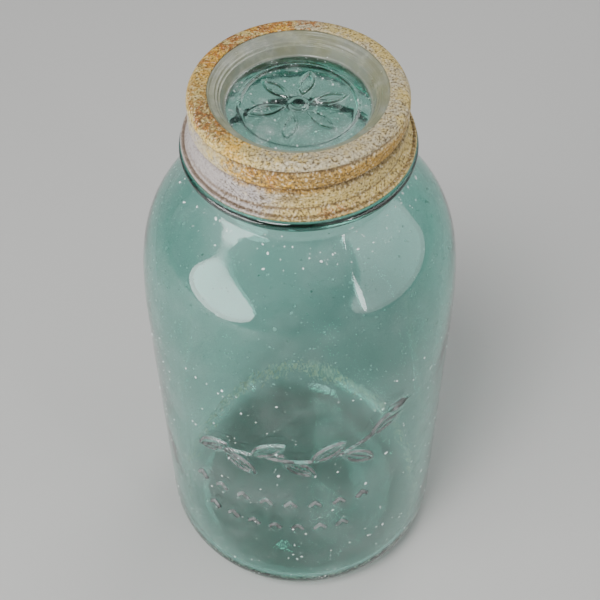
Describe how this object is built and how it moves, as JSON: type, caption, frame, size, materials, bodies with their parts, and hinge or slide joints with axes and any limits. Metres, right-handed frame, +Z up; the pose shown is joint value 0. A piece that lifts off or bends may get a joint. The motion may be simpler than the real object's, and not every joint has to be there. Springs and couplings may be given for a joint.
{
  "type": "mason jar",
  "caption": "Glass canning jar with rounded shoulders and a threaded neck, closed by a recessed glass insert lid on a sealing ring under an open-topped zinc screw band.",
  "frame": {"origin": "on the table, under the middle of the jar's foot", "axes": "+Z up along the jar's axis, -Y towards the side with the raised ornament"},
  "size_m": [0.1158, 0.1165, 0.24],
  "materials": {
    "jar_glass": "pressed soda glass with a blue-green tint, polished by the mould, dusty",
    "seal_rubber": "plain flat rubber ring",
    "lid_glass": "clear pressed glass with a slight grey-green tint",
    "zinc_sheet": null
  },
  "bodies": {
    "jar": {"jar": "jar_glass"},
    "seal": {"sealing_ring": "seal_rubber"},
    "insert": {"glass_insert": "lid_glass"},
    "band": {"screw_band": "zinc_sheet"}
  },
  "joints": [
    {"name": "insert_rise", "type": "slide", "parent": "jar", "child": "insert", "axis": [0, 0, 1], "range_m": [0, 0.0281]},
    {"name": "band_turn", "type": "hinge", "parent": "insert", "child": "band", "pos_m": [0, 0, 0.23], "axis": [0, 0, 1], "range_deg": [0, 1440]},
    {"name": "seal_lift", "type": "slide", "parent": "jar", "child": "seal", "axis": [0, 0, 1], "range_m": [0, 0.00705]}
  ],
  "couplings": [
    {"joint": "insert_rise", "follows": "band_turn", "m_per_rad": 0.0011141},
    {"joint": "seal_lift", "follows": "band_turn", "m_per_rad": 0.00027852}
  ]
}
